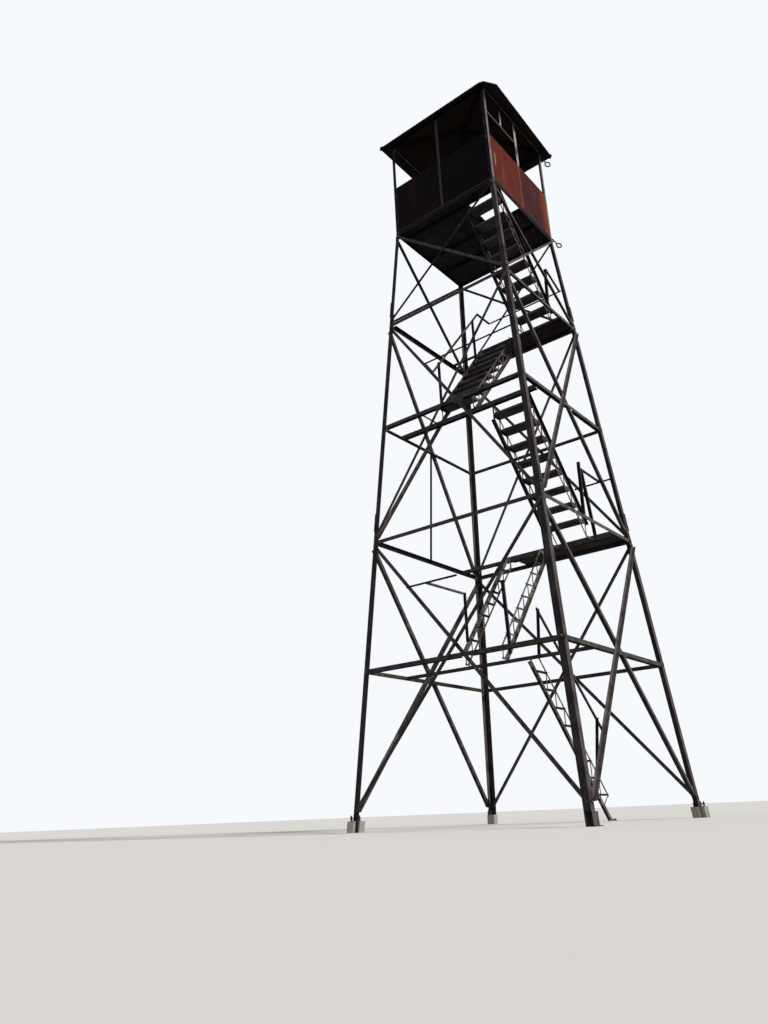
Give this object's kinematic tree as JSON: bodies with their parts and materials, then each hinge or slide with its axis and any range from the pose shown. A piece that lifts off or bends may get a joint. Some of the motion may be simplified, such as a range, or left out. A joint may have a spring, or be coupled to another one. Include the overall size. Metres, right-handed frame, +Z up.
{
  "type": "fire lookout tower",
  "caption": "Tapering angle-iron lookout tower with crossed bracing, zigzag stairs inside and a small square cab with open windows under a low hipped roof.",
  "frame": {"origin": "on the ground at the centre of the square base", "axes": "+Z up, front face towards -Y, +X along the front face to the right"},
  "size_m": [4.012, 4.012, 13.6608],
  "materials": {
    "leg_steel": "weathered",
    "girt_steel": "weathered",
    "brace_steel": "weathered",
    "stair_steel": "weathered",
    "stair_wood": "weathered",
    "floor_wood": "weathered",
    "panel_sheet": "rusted",
    "cab_steel": "weathered",
    "roof_sheet": "rusted",
    "grout": "rough",
    "fittings": "weathered"
  },
  "bodies": {
    "root": {"anchor_rods": "fittings", "brace_packs": "brace_steel", "braces_lower_inner": "brace_steel", "braces_lower_outer": "brace_steel", "braces_middle_inner": "brace_steel", "braces_middle_outer": "brace_steel", "braces_upper_inner": "brace_steel", "braces_upper_outer": "brace_steel", "cab_floor": "floor_wood", "cab_floor_frame": "cab_steel", "cab_floor_joists": "cab_steel", "cab_mullions": "cab_steel", "cab_panels": "panel_sheet", "cab_posts": "cab_steel", "cab_sills": "cab_steel", "cab_top_plates": "cab_steel", "flight_1_side": "stair_steel", "flight_2_sides": "stair_steel", "flight_3_sides": "stair_steel", "flight_3_treads": "stair_wood", "flight_4_sides": "stair_steel", "flight_4_treads": "stair_wood", "flight_5_sides": "stair_steel", "flight_5_treads": "stair_wood", "foot_blocks": "grout", "foot_shoe": "fittings", "girts_level_1": "girt_steel", "girts_level_2": "girt_steel", "girts_level_3": "girt_steel", "girts_level_4": "girt_steel", "guard_rails": "stair_steel", "landing_2_boards": "stair_wood", "landing_4_boards": "stair_wood", "landing_beams": "girt_steel", "leg_splices": "leg_steel", "legs_lower": "leg_steel", "legs_middle": "leg_steel", "legs_upper": "leg_steel", "roof_cap": "roof_sheet", "roof_rafters": "roof_sheet", "roof_sheets": "roof_sheet", "sash_bar": "cab_steel", "stair_posts": "stair_steel", "stair_rails": "stair_steel", "sway_rod": "brace_steel"}
  },
  "joints": []
}
